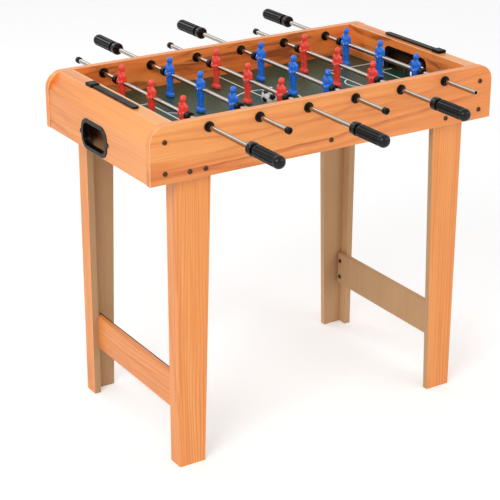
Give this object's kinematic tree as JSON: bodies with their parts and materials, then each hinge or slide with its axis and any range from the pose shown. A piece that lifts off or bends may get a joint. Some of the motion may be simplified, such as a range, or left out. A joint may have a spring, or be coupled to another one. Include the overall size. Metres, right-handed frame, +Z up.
{
  "type": "foosball table",
  "caption": "Small free-standing foosball table: shallow wooden box with sliding, spinning rods of players, goals, ball return mouths and score counters, on L-shaped board legs.",
  "frame": {"origin": "on the floor, under the middle of the table", "axes": "+X along the table to the right-hand goal, +Y across it to the back, +Z up"},
  "size_m": [0.69, 0.794, 0.635],
  "materials": {
    "beech_foil": "wood-grain foil on fibreboard, satin",
    "raw_fibreboard": "raw",
    "pine": "planed",
    "field_green": "printed hardboard, satin",
    "black_plastic": "satin",
    "score_plastic": "satin",
    "black_rubber": "matt",
    "chromed_tube": "polished",
    "red_plastic": "moulded",
    "blue_plastic": "moulded",
    "white_plastic": "moulded",
    "dark_screw": "dark plated"
  },
  "bodies": {
    "root": {"back_bushes": "black_plastic", "back_left_leg": "beech_foil", "back_right_leg": "beech_foil", "back_side_panel": "beech_foil", "ball_box_floors": "raw_fibreboard", "ball_box_walls": "raw_fibreboard", "ball_mouth_screws": "dark_screw", "cabinet_screws": "dark_screw", "corner_blocks": "pine", "end_strips": "beech_foil", "field_batten": "pine", "front_bushes": "black_plastic", "front_left_leg": "beech_foil", "front_right_leg": "beech_foil", "front_side_panel": "beech_foil", "goal_frames": "black_plastic", "left_ball_mouth": "black_plastic", "left_end_panel": "beech_foil", "left_goal_wall": "beech_foil", "left_score_track": "score_plastic", "left_stretcher": "beech_foil", "playing_field": "field_green", "right_ball_mouth": "black_plastic", "right_end_panel": "beech_foil", "right_goal_wall": "beech_foil", "right_score_track": "score_plastic", "right_stretcher": "beech_foil", "stretcher_screws": "dark_screw"},
    "rod_1_slider": {"rod_1_bumpers": "black_rubber"},
    "rod_1_spinner": {"rod_1_tube": "chromed_tube", "rod_1_handle": "black_plastic", "rod_1_men": "red_plastic", "rod_1_end_cap": "black_plastic"},
    "rod_2_slider": {"rod_2_bumpers": "black_rubber"},
    "rod_2_spinner": {"rod_2_tube": "chromed_tube", "rod_2_handle": "black_plastic", "rod_2_men": "blue_plastic", "rod_2_end_cap": "black_plastic"},
    "rod_3_slider": {"rod_3_bumpers": "black_rubber"},
    "rod_3_spinner": {"rod_3_tube": "chromed_tube", "rod_3_handle": "black_plastic", "rod_3_men": "red_plastic", "rod_3_end_cap": "black_plastic"},
    "rod_4_slider": {"rod_4_bumpers": "black_rubber"},
    "rod_4_spinner": {"rod_4_tube": "chromed_tube", "rod_4_handle": "black_plastic", "rod_4_men": "blue_plastic", "rod_4_end_cap": "black_plastic"},
    "rod_5_slider": {"rod_5_bumpers": "black_rubber"},
    "rod_5_spinner": {"rod_5_tube": "chromed_tube", "rod_5_handle": "black_plastic", "rod_5_men": "red_plastic", "rod_5_end_cap": "black_plastic"},
    "rod_6_slider": {"rod_6_bumpers": "black_rubber"},
    "rod_6_spinner": {"rod_6_tube": "chromed_tube", "rod_6_handle": "black_plastic", "rod_6_men": "blue_plastic"},
    "left_score_marker": {"left_score_marker": "score_plastic"},
    "right_score_marker": {"right_score_marker": "score_plastic"},
    "ball": {"ball": "white_plastic"}
  },
  "joints": [
    {"name": "rod_1_slide", "type": "slide", "parent": "root", "child": "rod_1_slider", "axis": [0, -1, 0], "range_m": [-0.038, 0.038]},
    {"name": "rod_1_spin", "type": "hinge", "parent": "rod_1_slider", "child": "rod_1_spinner", "pos_m": [-0.2375, 0, 0.6045], "axis": [0, -1, 0], "continuous": true},
    {"name": "rod_2_slide", "type": "slide", "parent": "root", "child": "rod_2_slider", "axis": [0, 1, 0], "range_m": [-0.038, 0.038]},
    {"name": "rod_2_spin", "type": "hinge", "parent": "rod_2_slider", "child": "rod_2_spinner", "pos_m": [-0.1425, 0, 0.6045], "axis": [0, 1, 0], "continuous": true},
    {"name": "rod_3_slide", "type": "slide", "parent": "root", "child": "rod_3_slider", "axis": [0, -1, 0], "range_m": [-0.038, 0.038]},
    {"name": "rod_3_spin", "type": "hinge", "parent": "rod_3_slider", "child": "rod_3_spinner", "pos_m": [-0.0475, 0, 0.6045], "axis": [0, -1, 0], "continuous": true},
    {"name": "rod_4_slide", "type": "slide", "parent": "root", "child": "rod_4_slider", "axis": [0, 1, 0], "range_m": [-0.038, 0.038]},
    {"name": "rod_4_spin", "type": "hinge", "parent": "rod_4_slider", "child": "rod_4_spinner", "pos_m": [0.0475, 0, 0.6045], "axis": [0, 1, 0], "continuous": true},
    {"name": "rod_5_slide", "type": "slide", "parent": "root", "child": "rod_5_slider", "axis": [0, -1, 0], "range_m": [-0.038, 0.038]},
    {"name": "rod_5_spin", "type": "hinge", "parent": "rod_5_slider", "child": "rod_5_spinner", "pos_m": [0.1425, 0, 0.6045], "axis": [0, -1, 0], "continuous": true},
    {"name": "rod_6_slide", "type": "slide", "parent": "root", "child": "rod_6_slider", "axis": [0, 1, 0], "range_m": [-0.038, 0.038]},
    {"name": "rod_6_spin", "type": "hinge", "parent": "rod_6_slider", "child": "rod_6_spinner", "pos_m": [0.2375, 0, 0.6045], "axis": [0, 1, 0], "continuous": true},
    {"name": "left_score_slide", "type": "slide", "parent": "root", "child": "left_score_marker", "axis": [0, -1, 0], "range_m": [0, 0.143]},
    {"name": "right_score_slide", "type": "slide", "parent": "root", "child": "right_score_marker", "axis": [0, 1, 0], "range_m": [0, 0.143]},
    {"name": "ball_roll", "type": "slide", "parent": "root", "child": "ball", "axis": [0, 1, 0], "range_m": [-0.125, 0.173]}
  ]
}
